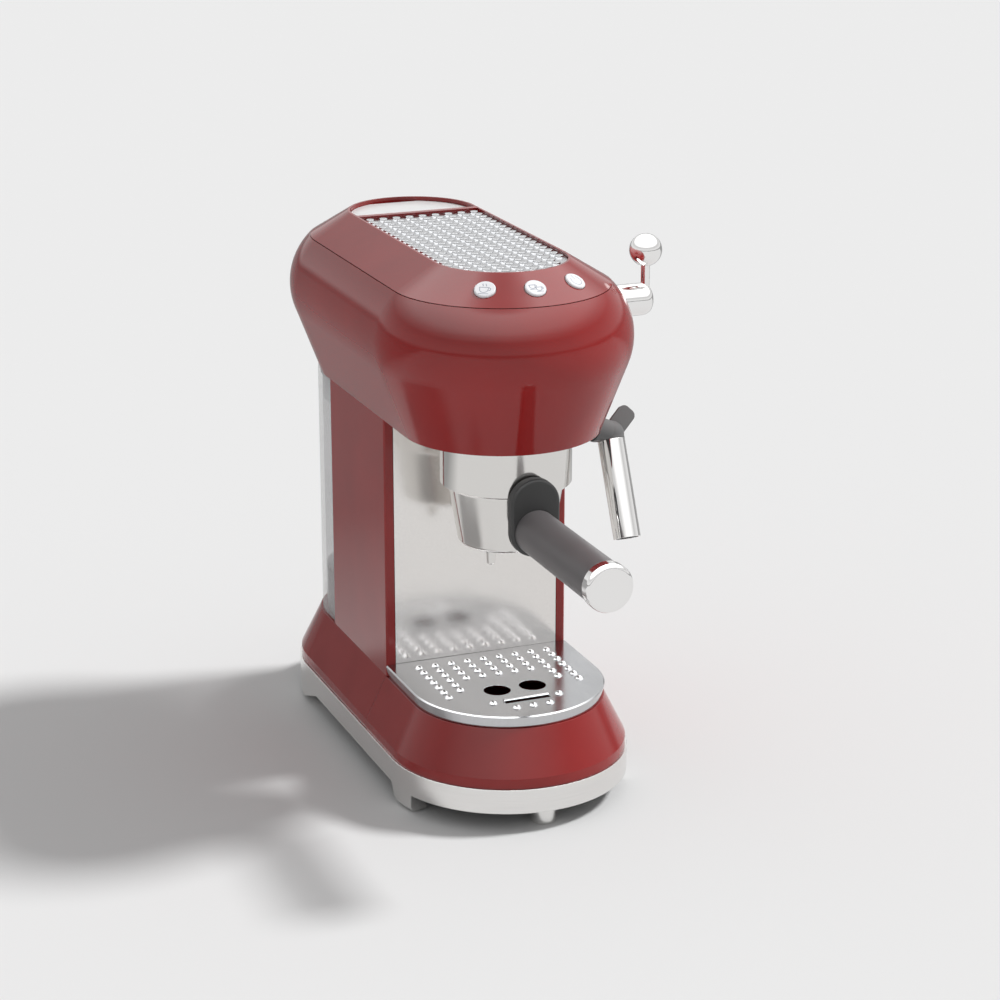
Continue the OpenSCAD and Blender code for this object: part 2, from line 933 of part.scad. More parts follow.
lid_t = 2.2;
hinge_y = bridge_rear + 3;
hinge_z = ledge_z + 0.2 + lid_t / 2;
pin_r = 1.1;

module chute_lid() {
    r = well_r - 0.4;
    knuckle_x = sqrt(r * r - pow(hinge_y - head_rear, 2)) - 0.1;
    color("whitesmoke")
        union() {
            slab(ledge_z + 0.2, lid_t)
                intersection() {
                    translate([0, head_rear])
                        circle(r);
                    translate([-r, hinge_y])
                        square([2 * r, r]);
                }
            rod([-knuckle_x, hinge_y, hinge_z], lid_t / 2, 2 * knuckle_x, "x");
            rod([-well_r - 1.4, hinge_y, hinge_z], pin_r, 2 * well_r + 2.8, "x");
        }
}

flange_z = -shell_t - 0.3;
stem_end = -7.4;

module button(angle) {
    color("white")
        on_slope(angle)
            rotate_extrude()
                polygon([
                    [0, button_proud],
                    [button_r - 0.6, button_proud],
                    [button_r, button_proud - 0.5],
                    [button_r, flange_z],
                    [button_r + 1.4, flange_z],
                    [button_r + 1.4, flange_z - 1.2],
                    [2.5, flange_z - 1.2],
                    [2.5, stem_end],
                    [0, stem_end]
                ]);
}

module button_one_cup() {
    button(-button_angle);
}

module button_two_cup() {
    button(0);
}

module button_power() {
    button(button_angle);
}

switch_h = 2.9;
carrier_top = stem_end - button_travel - 0.2 - switch_h;
carrier_t = 1.6;

module switch_carrier() {
    s = tan(slope_a);
    d0 = -carrier_top / cos(slope_a);
    d1 = d0 + carrier_t / cos(slope_a);
    r0 = well_r + 0.6;
    r1 = r0 + 1.6;
    r2 = button_ring + 7;
    color("dimgray")
        translate([0, -head_front, 0])
            rotate([0, 0, 270 - 50])
                rotate_extrude(angle = 100)
                    polygon([
                        [r0, ledge_z - 1.6],
                        [r1, ledge_z - 1.6],
                        [r1, top_z - (r1 - rim_r) * s - d0],
                        [r2, top_z - (r2 - rim_r) * s - d0],
                        [r2, top_z - (r2 - rim_r) * s - d1],
                        [r0, top_z - (r0 - rim_r) * s - d1]
                    ]);
}

module push_switches() {
    color("dimgray")
        for (i = [-1 : 1])
            on_slope(i * button_angle)
                translate([-3, -3, carrier_top + 0.15])
                    cube([6, 6, switch_h - 0.15]);
}

board_z = under_top + 9;
board_posts = [for (x = [-44, -15], y = [-22, 42]) [x, y]];

module control_board() {
    color("seagreen")
        union() {
            box([-47, -25, board_z], [-12, 45, board_z + 1.6]);
            box([-44, -5, board_z + 1], [-22, 25, board_z + 22]);
            box([-20, 5, board_z + 1], [-14, 20, board_z + 12]);
            rod([-36, 35, board_z + 1], 5, 18);
        }
}

// ---------- brewing group ----------

gasket_z = rim_z + 1.2;

module group_head() {
    top = boiler_z;
    color("silver")
        translate([0, -group_y, 0])
            difference() {
                rotate_extrude()
                    polygon([
                        [2, top], [group_r + 3.5, top], [group_r + 3.5, under_top], [group_r, under_top],
                        [group_r, group_z + 0.8], [group_r - 0.8, group_z], [bowl_r + 0.6, group_z],
                        [bowl_r + 0.6, lug_z - 0.3], [lug_r + 0.4, lug_z - 0.3], [lug_r + 0.4, gasket_z],
                        [lug_r + 0.2, gasket_z], [lug_r + 0.2, gasket_z + 4.6], [27.3, gasket_z + 4.6],
                        [27.3, gasket_z], [2, gasket_z]
                    ]);
                for (a = [0, 180])
                    rotate([0, 0, a - 90 - unlock_angle - lug_span / 2 - 2])
                        translate([0, 0, group_z - e])
                            rotate_extrude(angle = lug_span + 4)
                                translate([bowl_r - e, 0])
                                    square([lug_r + 0.4 - bowl_r + e, lug_z - group_z + e]);
            }
}

lug_span = 36;

module group_gasket() {
    color("dimgray")
        translate([0, -group_y, gasket_z])
            rotate_extrude()
                translate([27.4, 0])
                    square([lug_r - 27.3, 4.5]);
}

module shower_screen() {
    r = 25.5;
    color("silver")
        translate([0, -group_y, gasket_z - 2.2])
            difference() {
                cylinder(r = r, h = 2.2);
                translate([0, 0, 1])
                    cylinder(r = r - 1, h = 2);
                translate([0, 0, -e])
                    cylinder(r = 2.2, h = 4);
                for (ring = [1 : 2], a = [0 : 60 / ring : 359])
                    rotate([0, 0, a])
                        translate([ring * 9, 0, -e])
                            cylinder(r = 0.9, h = 4);
            }
}

module screen_screw() {
    color("silver")
        translate([0, -group_y, gasket_z - 4]) {
            cylinder(r = 4.2, h = 1.8);
            translate([0, 0, 1])
                cylinder(r = 1.95, h = 11);
        }
}

module boiler() {
    edge = 4;
    color("silver")
        translate([0, -group_y, boiler_z])
            rotate_extrude() {
                square([boiler_r, boiler_h - edge]);
                square([boiler_r - edge, boiler_h]);
                translate([boiler_r - edge, boiler_h - edge])
                    circle(edge);
            }
}

module heating_element() {
    r = 3;
    color("dimgray")
        translate([0, -group_y, boiler_z + 26]) {
            rotate_extrude()
                translate([boiler_r + r + 0.2, 0])
                    circle(r);
            for (a = [60, 120])
                rotate([0, 0, a])
                    rod([boiler_r + r + 0.2, 0, 0], 1.6, 16);
        }
}

module thermostats() {
    color("dimgray")
        for (x = [-14, 8])
            rod([x, -group_y, boiler_z + boiler_h], 8, 7);
}

// Outline of the filter holder's bowl in half section.
module bowl_profile(inset) {
    round = 3;
    r0 = bowl_bottom_r - inset;
    r1 = bowl_r - inset;
    z0 = bowl_z + inset;
    shoulder = group_z - 2;
    polygon([
        [0, z0], [r0 - round, z0], [r0, z0 + round], [r1, shoulder],
        [r1, rim_z + (inset > 0 ? e : 0)], [0, rim_z + (inset > 0 ? e : 0)]
    ]);
    translate([r0 - round, z0 + round])
        circle(round);
}

spout_x = -9.5;
spout_y = -79.6;
spout_l = 12.4;

module portafilter_bowl() {
    color("silver")
        difference() {
            translate([0, -group_y, 0]) {
                rotate_extrude()
                    difference() {
                        bowl_profile(0);
                        bowl_profile(bowl_t);
                    }
                for (a = [0, 180])
                    rotate([0, 0, a - 90 - lug_span / 2])
                        translate([0, 0, lug_z])
                            rotate_extrude(angle = lug_span)
                                translate([bowl_r - 1, 0])
                                    square([lug_r - bowl_r + 1, lug_h]);
            }
            rod([spout_x, spout_y, bowl_z - e], 1.8, bowl_t + 2 * e);
        }
}

basket_t = 0.8;
basket_z = group_z - 14;

module filter_basket() {
    top_r = bowl_r - bowl_t - 1;
    low_r = top_r - 4;
    color("silver")
        translate([0, -group_y, 0])
            difference() {
                rotate_extrude()
                    polygon([
                        [0, basket_z], [low_r, basket_z], [top_r, rim_z + 0.1], [bowl_r - 0.3, rim_z + 0.1],
                        [bowl_r - 0.3, rim_z + 0.9], [top_r - basket_t, rim_z + 0.9],
                        [low_r - basket_t, basket_z + basket_t], [0, basket_z + basket_t]
                    ]);
                for (ring = [1 : 2], a = [0 : 60 / ring : 359])
                    rotate([0, 0, a])
                        rod([ring * 8, 0, basket_z - e], 0.7, 3);
            }
}

module pour_spout() {
    color("silver")
        translate([spout_x, spout_y, bowl_z - spout_l])
            rotate_extrude()
                polygon([[1.3, 0], [1.8, 0], [2.3, 0.6], [3.1, spout_l], [1.8, spout_l], [1.3, spout_l - 4]]);
}

// ---------- handle ----------

module handle_neck() {
    color("silver")
        difference() {
            union() {
                rod([0, -group_y - bowl_bottom_r + 6, handle_z], neck_r, -(group_r + 6.6 - bowl_bottom_r), "y");
                rod([0, guard_y + e, handle_z], stud_bolt_r, -(e + guard_t + 28), "y");
            }
            translate([0, -group_y, 0])
                rotate_extrude()
                    bowl_profile(-0.03);
        }
}

// Turns a shape drawn round Z so that Z points to the machine's front, at the handle's height.
module to_front(y, z) {
    translate([0, y, z])
        rotate([90, 0, 0])
            children();
}

module handle_guard() {
    r = guard_w / 2;
    half = guard_h / 2 - r;
    edge = 1.6;
    color("dimgray")
        difference() {
            to_front(guard_y, handle_z + 7.6)
                track(-half, half) {
                    square([r - edge, guard_t]);
                    translate([0, edge])
                        square([r, guard_t - 2 * edge]);
                    for (depth = [edge, guard_t - edge])
                        translate([r - edge, depth])
                            circle(edge);
                }
            rod([0, guard_y + e, handle_z], stud_bolt_r + fit, -(guard_t + 2 * e), "y");
        }
}

module handle_grip() {
    flare = 0.2;
    color("dimgray")
        to_front(grip_y, handle_z)
            difference() {
                rotate_extrude()
                    polygon([[0, 0], [grip_r - flare, 0], [grip_r, grip_l], [0, grip_l]]);
                translate([0, 0, -e])
                    cylinder(r = stud_bolt_r + fit, h = 30);
                translate([0, 0, grip_l - 9])
                    cylinder(r = 6 + fit, h = 10);
            }
}

module handle_cap() {
    round = 2.6;
    color("silver")
        to_front(cap_y - 0.1, handle_z) {
            rotate_extrude() {
                square([cap_r, cap_l - round]);
                square([cap_r - round, cap_l]);
                translate([cap_r - round, cap_l - round])
                    circle(round);
            }
            translate([0, 0, -8])
                cylinder(r = 6, h = 8.5);
        }
}

// ---------- steam lever ----------

module steam_valve() {
    color("goldenrod")
        difference() {
            union() {
                translate(lever)
                    rod([38, 0, 0], 10, 20, "x");
                box([42, -wand_y - 4, lever[2] - 9], [50, -lever_y, lever[2] - 3]);
                rod([post_x, -wand_y, lever[2] - 16], 3.5, 10);
                box([43, -lever_y - 4, under_top], [44.6, -lever_y + 6, lever[2] - 6]);
            }
            translate(lever)
                rod([44, 0, 0], spindle_r + fit, 20, "x");
        }
}

module steam_pipes() {
    r = 2.4;
    turn = 6;
    foot = [24, -lever_y, boiler_z + boiler_h];
    rise = lever[2] - turn - foot[2];
    color("chocolate") {
        rod(foot, r, rise);
        translate([foot[0] + turn, foot[1], lever[2] - turn])
            rotate([90, 0, 0])
                rotate([0, 0, 90])
                    rotate_extrude(angle = 90)
                        translate([turn, 0])
                            circle(r);
        rod([foot[0] + turn, foot[1], lever[2]], r, 38 - foot[0] - turn, "x");
        rod([post_x, -wand_y, under_top + 2], r, lever[2] - 16 - under_top - 2);
    }
}

spindle_r = 4;

module lever_spindle() {
    color("goldenrod")
        translate(lever)
            rod([46, 0, 0], spindle_r, 30, "x");
}

module lever_hub() {
    color("silver")
        difference() {
            translate(lever)
                translate([hub_x0, 0, 0])
                    rotate([0, 90, 0])
                        rotate_extrude() {
                            square([hub_r, hub_x - hub_x0 - hub_round]);
                            square([hub_r - hub_round, hub_x - hub_x0]);
                            translate([hub_r - hub_round, hub_x - hub_x0 - hub_round])
                                intersection() {
                                    circle(hub_round);
                                    square(hub_round);
                                }
                        }
            translate(lever)
                rod([hub_x0 - e, 0, 0], spindle_r + fit, 15 + e, "x");
            translate(lever)
                rod([stem_x, 0, 2], stem_r + fit, hub_r);
        }
}

module lever_stem() {
    color("silver")
        translate(lever)
            rod([stem_x, 0, 2], stem_r, ball_z - 6);
}

module lever_ball() {
    color("silver")
        difference() {
            translate(lever)
                translate([stem_x, 0, ball_z])
                    sphere(ball_r);
            translate(lever)
                rod([stem_x, 0, 2], stem_r + fit, ball_z - 5.8);
        }
}

// ---------- steam wand ----------

post_r = 5.5;
elbow_l = 10.5;
socket_r = 4.2;
bend_r = tube_r + 0.4;

// Along the swivel axis, which rises from the bend into the head.
module along_swivel() {
    translate(bend)
        rotate([0, swivel_rise - 90, 0])
            children();
}

// Down along the wand, which leans forwards.
module along_wand() {
    translate(bend)
        rotate([180 - wand_lean, 0, 0])
            children();
}

module wand_socket() {
    color("dimgray")
        difference() {
            union() {
                intersection() {
                    along_swivel()
                        translate([0, 0, elbow_l + 0.4])
                            cylinder(r = socket_r, h = 14);
                    box([post_x - 1, -wand_y - 9, head_z - 20], [wand_x, -wand_y + 9, head_z - 0.2]);
                }
                rod([post_x, -wand_y, head_z - 4.6], post_r, under_top + 2 - head_z + 4.6);
            }
            along_swivel()
                cylinder(r = tube_r + fit, h = 19);
            rod([post_x, -wand_y, head_z - 3], 1.6, 12);
        }
}

module wand_tube() {
    color("silver")
        union() {
            along_swivel()
                cylinder(r = tube_r, h = 18);
            along_wand()
                cylinder(r = tube_r, h = sleeve_gap + sleeve_l - 8);
            translate(bend)
                sphere(bend_r);
        }
}

module wand_elbow() {
    tab_r = 5.2;
    tab_l = 15.3;
    tab_round = 3.6;
    tab_t = 3;
    color("dimgray")
        difference() {
            union() {
                // the bend and its neck, which stop short of the sleeve
                intersection() {
                    union() {
                        translate(bend)
                            sphere(sleeve_r + 0.15);
                        along_swivel()
                            cylinder(r = sleeve_r - 0.2, h = elbow_l);
                        along_wand()
                            cylinder(r = sleeve_r, h = sleeve_gap);
                    }
                    along_wand()
                        translate([0, 0, -2 * sleeve_r])
                            cylinder(r = 3 * sleeve_r, h = 2 * sleeve_r + sleeve_gap - 0.1);
                }
                along_wand()
                    cylinder(r = sleeve_r - sleeve_t - 0.1, h = sleeve_gap + 8);
                // thumb tab on the outside of the bend
                along_wand()
                    rotate([90, 0, 0])
                        translate([0, 0, -tab_t / 2])
                            linear_extrude(tab_t)
                                rotate(-43) {
                                    translate([0, -tab_r])
                                        square([tab_l, 2 * tab_r]);
                                    translate([tab_l, tab_round - tab_r])
                                        square([tab_round, 2 * (tab_r - tab_round)]);
                                    for (side = [-1, 1])
                                        translate([tab_l, side * (tab_r - tab_round)])
                                            circle(tab_round);
                                }
            }
            along_swivel()
                cylinder(r = tube_r + fit, h = 20);
            along_wand()
                cylinder(r = tube_r + fit, h = sleeve_l);
            translate(bend)
                sphere(bend_r + fit);
        }
}

module wand_sleeve() {
    color("silver")
        along_wand()
            translate([0, 0, sleeve_gap])
                difference() {
                    cylinder(r = sleeve_r, h = sleeve_l);
                    translate([0, 0, -e])
                        cylinder(r = sleeve_r - sleeve_t, h = sleeve_l + 2 * e);
                }
}

// ---------- pump ----------

module pump() {
    color("dimgray")
        translate([0, pump_y, pump_z])
            rotate_extrude()
                polygon([
                    [0, 2 - 2 * neck_h], [barb_r, 2 - 2 * neck_h], [barb_r, -neck_h], [6, -neck_h], [6, 0],
                    [pump_r, 0], [pump_r, pump_h], [6, pump_h], [6, pump_h + neck_h],
                    [barb_r, pump_h + neck_h], [barb_r, pump_h + 2 * neck_h], [0, pump_h + 2 * neck_h]
                ]);
}

tab_t = 2;
tab_drop = 5;
tab_hole = 8.5;

module pump_mounts() {
    color("dimgray")
        for (z = [pump_z - tab_drop, pump_z + pump_h + tab_drop - tab_t])
            translate([0, pump_y, z])
                rotate_extrude()
                    polygon([
                        [6.1, -2.2], [11, -2.2], [11, -0.1], [tab_hole - 0.1, -0.1], [tab_hole - 0.1, tab_t + 0.1],
                        [11, tab_t + 0.1], [11, tab_t + 2.2], [6.1, tab_t + 2.2]
                    ]);
}

module pump_bracket() {
    back = -8;
    z0 = pump_z - tab_drop;
    z1 = pump_z + pump_h + tab_drop;
    color("silver")
        difference() {
            union() {
                box([-frame_x + frame_t, back, z0], [frame_x - frame_t, back + tab_t, z1]);
                box([-14, back, z0], [14, pump_y + 13, z0 + tab_t]);
                box([-14, back, z1 - tab_t], [14, pump_y + 13, z1]);
            }
            rod([0, pump_y, z0 - e], tab_hole, z1 - z0 + 2 * e);
        }
}

module suction_hose() {
    r = barb_r + 1.6;
    start = column_rear - shell_t - 4;
    bend_z = outlet_h + hose_bend;
    color("whitesmoke")
        difference() {
            union() {
                rod([0, start, outlet_h], r, -(start - pump_y - hose_bend), "y");
                quarter_bend([0, pump_y + hose_bend, bend_z], hose_bend, r);
                rod([0, pump_y, bend_z], r, pump_z - neck_h - 0.2 - bend_z);
            }
            rod([0, start + e, outlet_h], barb_r + fit, -(start + e - pump_y - hose_bend), "y");
            quarter_bend([0, pump_y + hose_bend, bend_z], hose_bend, barb_r + fit);
            rod([0, pump_y, bend_z], barb_r + fit, pump_z - neck_h + e - bend_z);
        }
}

module pressure_pipe() {
    r = 2.5;
    start = pump_z + pump_h + neck_h + 0.2;
    turn_z = under_top + 3;
    feed_z = turn_z + hose_bend;
    boiler_rear = boiler_r - group_y;
    color("chocolate")
        difference() {
            union() {
                rod([0, pump_y, start], barb_r + 1.4, neck_h + 3);
                rod([0, pump_y, start + neck_h], r, turn_z - start - neck_h);
                translate([0, pump_y - hose_bend, turn_z])
                    rotate([0, 90, 0])
                        rotate([0, 0, 90])
                            rotate_extrude(angle = 90)
                                translate([hose_bend, 0])
                                    circle(r);
                rod([0, pump_y - hose_bend, feed_z], r, boiler_rear - pump_y + hose_bend, "y");
                rod([0, boiler_rear + 0.2, feed_z], 4.5, 6, "y");
            }
            rod([0, pump_y, start - e], barb_r + fit, neck_h + e);
        }
}

// ---------- assembly ----------

base_band();
foot_pads();
stud_foot();
bottom_cover();
bottom_screws();
base_deck();
rear_base_shell();
cord_gland();
drip_tray();
drip_grid();
column_shell();
front_panel();
support_frame();
tank_plinth();
tank_coupling();
coupling_seal();
water_tank();
tank_cover();
outlet_filter();
head_shell();
head_underside();
top_cover();
cup_warmer_plate();
fill_chute();
chute_lid();
button_one_cup();
button_two_cup();
button_power();
switch_carrier();
push_switches();
control_board();
group_head();
group_gasket();
shower_screen();
screen_screw();
boiler();
heating_element();
thermostats();
pump();
pump_mounts();
pump_bracket();
suction_hose();
pressure_pipe();
steam_valve();
steam_pipes();
lever_spindle();
lever_hub();
lever_stem();
lever_ball();
wand_socket();
wand_tube();
wand_elbow();
wand_sleeve();
portafilter_bowl();
filter_basket();
pour_spout();
handle_neck();
handle_guard();
handle_grip();
handle_cap();
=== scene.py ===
import math

import bmesh
import bpy
from mathutils import Matrix, Vector


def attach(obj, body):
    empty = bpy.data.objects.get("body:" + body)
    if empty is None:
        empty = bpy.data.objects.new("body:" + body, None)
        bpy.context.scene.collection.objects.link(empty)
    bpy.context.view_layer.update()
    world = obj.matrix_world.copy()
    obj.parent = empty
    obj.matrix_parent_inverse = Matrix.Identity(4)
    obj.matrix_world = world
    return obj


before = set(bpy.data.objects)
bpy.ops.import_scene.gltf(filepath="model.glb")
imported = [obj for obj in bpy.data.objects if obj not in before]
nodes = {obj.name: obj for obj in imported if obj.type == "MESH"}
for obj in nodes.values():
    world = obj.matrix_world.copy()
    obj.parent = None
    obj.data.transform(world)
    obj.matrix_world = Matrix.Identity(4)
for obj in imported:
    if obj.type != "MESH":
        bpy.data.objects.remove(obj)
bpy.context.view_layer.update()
MM = 0.001


# ---------- node helpers ----------

def new_material(name):
    """An empty material with one principled shader on its surface."""
    mat = bpy.data.materials.new(name)
    mat.use_nodes = True
    tree = mat.node_tree
    tree.nodes.clear()
    out = tree.nodes.new("ShaderNodeOutputMaterial")
    bsdf = tree.nodes.new("ShaderNodeBsdfPrincipled")
    tree.links.new(bsdf.outputs[0], out.inputs[0])
    return mat, tree, bsdf


def node(tree, kind, **values):
    """Adds a node. Each value goes to the input of that name, or else to the node's own setting."""
    n = tree.nodes.new(kind)
    for key, value in values.items():
        socket = key.replace("_", " ")
        if socket in n.inputs:
            n.inputs[socket].default_value = value
        else:
            setattr(n, key, value)
    return n


def position(tree, scale=(1, 1, 1)):
    """The point in the object's own frame, in metres, stretched by scale."""
    coords = node(tree, "ShaderNodeTexCoord")
    mapping = node(tree, "ShaderNodeMapping", Scale=scale)
    tree.links.new(coords.outputs["Object"], mapping.inputs["Vector"])
    return mapping.outputs[0]


def noise(tree, where, scale, detail=3.0, rough=0.5):
    n = node(tree, "ShaderNodeTexNoise", Scale=scale, Detail=detail, Roughness=rough)
    tree.links.new(where, n.inputs["Vector"])
    return n.outputs["Fac"]


def ramp(tree, value, low, high, start=0.3, end=0.7):
    """Maps a 0..1 pattern to a range of values, or of colours if low is a colour."""
    if isinstance(low, (int, float)):
        n = node(tree, "ShaderNodeMapRange")
        for key, v in (("From Min", start), ("From Max", end), ("To Min", low), ("To Max", high)):
            n.inputs[key].default_value = v
        tree.links.new(value, n.inputs["Value"])
        return n.outputs["Result"]
    n = node(tree, "ShaderNodeValToRGB")
    for element, at, colour in zip(n.color_ramp.elements, (start, end), (low, high)):
        element.position = at
        element.color = (*colour, 1)
    tree.links.new(value, n.inputs["Fac"])
    return n.outputs["Color"]


def bump(tree, bsdf, height, distance, strength, edge=0.0):
    """Raises the surface by a pattern, and rounds its edges in the shading if edge is set."""
    n = node(tree, "ShaderNodeBump", Strength=strength, Distance=distance)
    tree.links.new(height, n.inputs["Height"])
    if edge:
        bevel = node(tree, "ShaderNodeBevel", samples=4, Radius=edge)
        tree.links.new(bevel.outputs[0], n.inputs["Normal"])
    tree.links.new(n.outputs[0], bsdf.inputs["Normal"])


def shade(colour):
    """A colour given as 0..255 screen values, in linear light."""
    return tuple(
        c / 255 / 12.92 if c <= 10 else ((c / 255 + 0.055) / 1.055) ** 2.4 for c in colour
    )


# ---------- materials ----------

def cloudy(tree, socket, pattern, colour, darker, lighter):
    """Lets a colour drift between a darker and a lighter share of itself."""
    c = shade(colour)
    dark = tuple(v * darker for v in c)
    light = tuple(min(1, v * lighter) for v in c)
    tree.links.new(ramp(tree, pattern, dark, light), socket)


def lacquer(name, colour, rough=0.1):
    """Deep glossy lacquer with faint orange peel, and a little unevenness in its sheen."""
    mat, tree, bsdf = new_material(name)
    where = position(tree)
    broad = noise(tree, where, 26, 4)
    fine = noise(tree, where, 900, 2)
    cloudy(tree, bsdf.inputs["Base Color"], broad, colour, 0.93, 1.06)
    tree.links.new(ramp(tree, broad, rough - 0.02, rough + 0.03), bsdf.inputs["Roughness"])
    bsdf.inputs["IOR"].default_value = 1.47
    bump(tree, bsdf, fine, 0.00001, 0.4, edge=0.0003)
    return mat


def brushed(name, colour, grain, rough, depth=0.000006, edge=0.0004):
    """Satin steel. The grain says how fast its fine pattern changes along each axis."""
    mat, tree, bsdf = new_material(name)
    lines = noise(tree, position(tree, grain), 1, 3, 0.6)
    cloud = noise(tree, position(tree), 30, 3)
    c = shade(colour)
    tree.links.new(
        ramp(tree, lines, tuple(v * 0.94 for v in c), c, 0.35, 0.65), bsdf.inputs["Base Color"]
    )
    bsdf.inputs["Metallic"].default_value = 1.0
    tree.links.new(ramp(tree, cloud, rough - 0.03, rough + 0.04), bsdf.inputs["Roughness"])
    bump(tree, bsdf, lines, depth, 0.6, edge=edge)
    return mat


def polished(name, colour, rough, edge=0.0004):
    """Bright chrome with faint wiping marks and a slight waviness."""
    mat, tree, bsdf = new_material(name)
    smudge = noise(tree, position(tree), 55, 4, 0.6)
    wave = noise(tree, position(tree), 16, 2)
    bsdf.inputs["Base Color"].default_value = (*shade(colour), 1)
    bsdf.inputs["Metallic"].default_value = 1.0
    tree.links.new(ramp(tree, smudge, rough * 0.7, rough * 1.6), bsdf.inputs["Roughness"])
    bump(tree, bsdf, wave, 0.00004, 0.25, edge=edge)
    return mat


def moulded(name, colour, rough, grain=1800, depth=0.00004, edge=0.0004):
    """Moulded plastic or rubber with a fine eroded grain."""
    mat, tree, bsdf = new_material(name)
    pits = noise(tree, position(tree), grain, 2)
    wear = noise(tree, position(tree), 40, 3)
    cloudy(tree, bsdf.inputs["Base Color"], wear, colour, 0.92, 1.07)
    tree.links.new(ramp(tree, wear, rough - 0.04, rough + 0.05), bsdf.inputs["Roughness"])
    bump(tree, bsdf, pits, depth, 0.35, edge=edge)
    return mat


def milky(name, colour, rough, weight):
    """Milky moulded plastic that lets a share of the light through, with faint flow lines."""
    mat, tree, bsdf = new_material(name)
    flow = noise(tree, position(tree, (1, 1, 0.35)), 40, 2)
    bsdf.inputs["Base Color"].default_value = (*shade(colour), 1)
    bsdf.inputs["Transmission Weight"].default_value = weight
    bsdf.inputs["IOR"].default_value = 1.38
    tree.links.new(ramp(tree, flow, rough, rough + 0.02), bsdf.inputs["Roughness"])
    bump(tree, bsdf, flow, 0.00001, 0.1)
    return mat


def sheer(name, colour, gloss):
    """Thin clear wall, seen straight through, with a soft mirror on top and faint flow lines."""
    mat, tree, bsdf = new_material(name)
    flow = noise(tree, position(tree, (1, 1, 0.35)), 40, 2)
    bsdf.inputs["Base Color"].default_value = (*shade(colour), 1)
    bsdf.inputs["Alpha"].default_value = gloss
    tree.links.new(ramp(tree, flow, 0.05, 0.08), bsdf.inputs["Roughness"])
    bump(tree, bsdf, flow, 0.00001, 0.1)
    return mat


mats = {
    "red": lacquer("red_lacquer", (146, 31, 30)),
    "panel": brushed("mirror_panel", (232, 229, 226), (900, 700, 700), 0.17, depth=0.0000003, edge=0.0),
    "band": brushed("satin_band", (236, 235, 233), (30, 30, 2600), 0.2),
    "sheet": brushed("satin_sheet", (203, 204, 206), (1500, 90, 90), 0.16, depth=0.000002),
    "group": polished("polished_steel", (222, 220, 217), 0.1),
    "chrome": polished("chrome", (240, 239, 238), 0.05),
    "grip": moulded("satin_grip", (100, 97, 98), 0.42),
    "guard": moulded("dark_guard", (58, 58, 58), 0.5),
    "elbow": moulded("grey_rubber", (108, 108, 108), 0.55, grain=900),
    "black": moulded("black_plastic", (30, 30, 31), 0.55),
    "rubber": moulded("foot_rubber", (38, 38, 38), 0.7, grain=700),
    "white": moulded("white_plastic", (242, 243, 246), 0.28, grain=2200, depth=0.00001),
    "smoke": moulded("grey_plinth", (140, 131, 129), 0.45),
    "icon": moulded("printed_grey", (158, 163, 176), 0.5),
    "clear": sheer("clear_tank", (225, 225, 226), 0.32),
    "lid": milky("milky_lid", (250, 250, 250), 0.22, 0.2),
    "cast": moulded("cast_aluminium", (168, 168, 170), 0.4, grain=500, depth=0.0001),
    "copper": polished("copper_pipe", (196, 140, 100), 0.2),
    "brass": polished("brass", (206, 172, 100), 0.18),
    "circuit": moulded("circuit_green", (30, 88, 52), 0.4),
    "silicone": moulded("milky_silicone", (214, 212, 206), 0.45),
}

finish = {
    "red": "rear_base_shell drip_tray column_shell head_shell top_cover",
    "panel": "front_panel",
    "band": "base_band stud_foot",
    "sheet": "drip_grid cup_warmer_plate",
    "group": "group_head portafilter_bowl filter_basket pour_spout shower_screen support_frame "
             "pump_bracket",
    "chrome": "handle_cap handle_neck lever_hub lever_stem lever_ball wand_sleeve wand_tube "
              "bottom_screws screen_screw heating_element",
    "grip": "handle_grip",
    "guard": "handle_guard",
    "elbow": "wand_elbow",
    "black": "bottom_cover base_deck cord_gland tank_coupling head_underside switch_carrier "
             "push_switches thermostats wand_socket pump",
    "rubber": "foot_pads coupling_seal group_gasket pump_mounts",
    "white": "button_one_cup button_two_cup button_power outlet_filter",
    "smoke": "tank_plinth",
    "clear": "water_tank tank_cover",
    "lid": "chute_lid fill_chute",
    "cast": "boiler",
    "copper": "pressure_pipe steam_pipes",
    "brass": "steam_valve lever_spindle",
    "circuit": "control_board",
    "silicone": "suction_hose",
}
for key, names in finish.items():
    for name in names.split():
        mesh = nodes[name].data
        mesh.materials.clear()
        mesh.materials.append(mats[key])
bare = [n for n in nodes if nodes[n].data.materials[0] not in list(mats.values())]
if bare:
    raise RuntimeError("no finish for: " + ", ".join(bare))


# ---------- printed signs on the buttons ----------

SLOPE = math.radians(31.8)  # the shoulder that the buttons stand on, below level
TOP_Z = 303.3  # the shoulder's upper rim: its height and its radius
RIM_R = 37.7
ROUND_Y = -70.0  # the centre that the rim and the ring of buttons go round
RING = 48.8  # that ring's radius
BUTTON_ANGLE = 31.5  # from one button to the next
PROUD = 1.2  # how far a button's face stands above the shoulder
LINE_WIDTH = 0.36


def on_slope(degrees):
    """The place of a button on the shoulder, with Z square to the shoulder."""
    z = TOP_Z - (RING - RIM_R) * math.tan(SLOPE)
    return (
        Matrix.Translation((0, ROUND_Y, 0))
        @ Matrix.Rotation(math.radians(degrees), 4, "Z")
        @ Matrix.Translation((0, -RING, z))
        @ Matrix.Rotation(SLOPE, 4, "X")
    )


def arc(x, y, r, start, end, steps=20, squeeze=1.0):
    """Points on an arc, from and to angles in degrees, flattened in Y by squeeze."""
    return [
        (x + r * math.cos(math.radians(start + (end - start) * i / steps)),
         y + squeeze * r * math.sin(math.radians(start + (end - start) * i / steps)))
        for i in range(steps + 1)
    ]


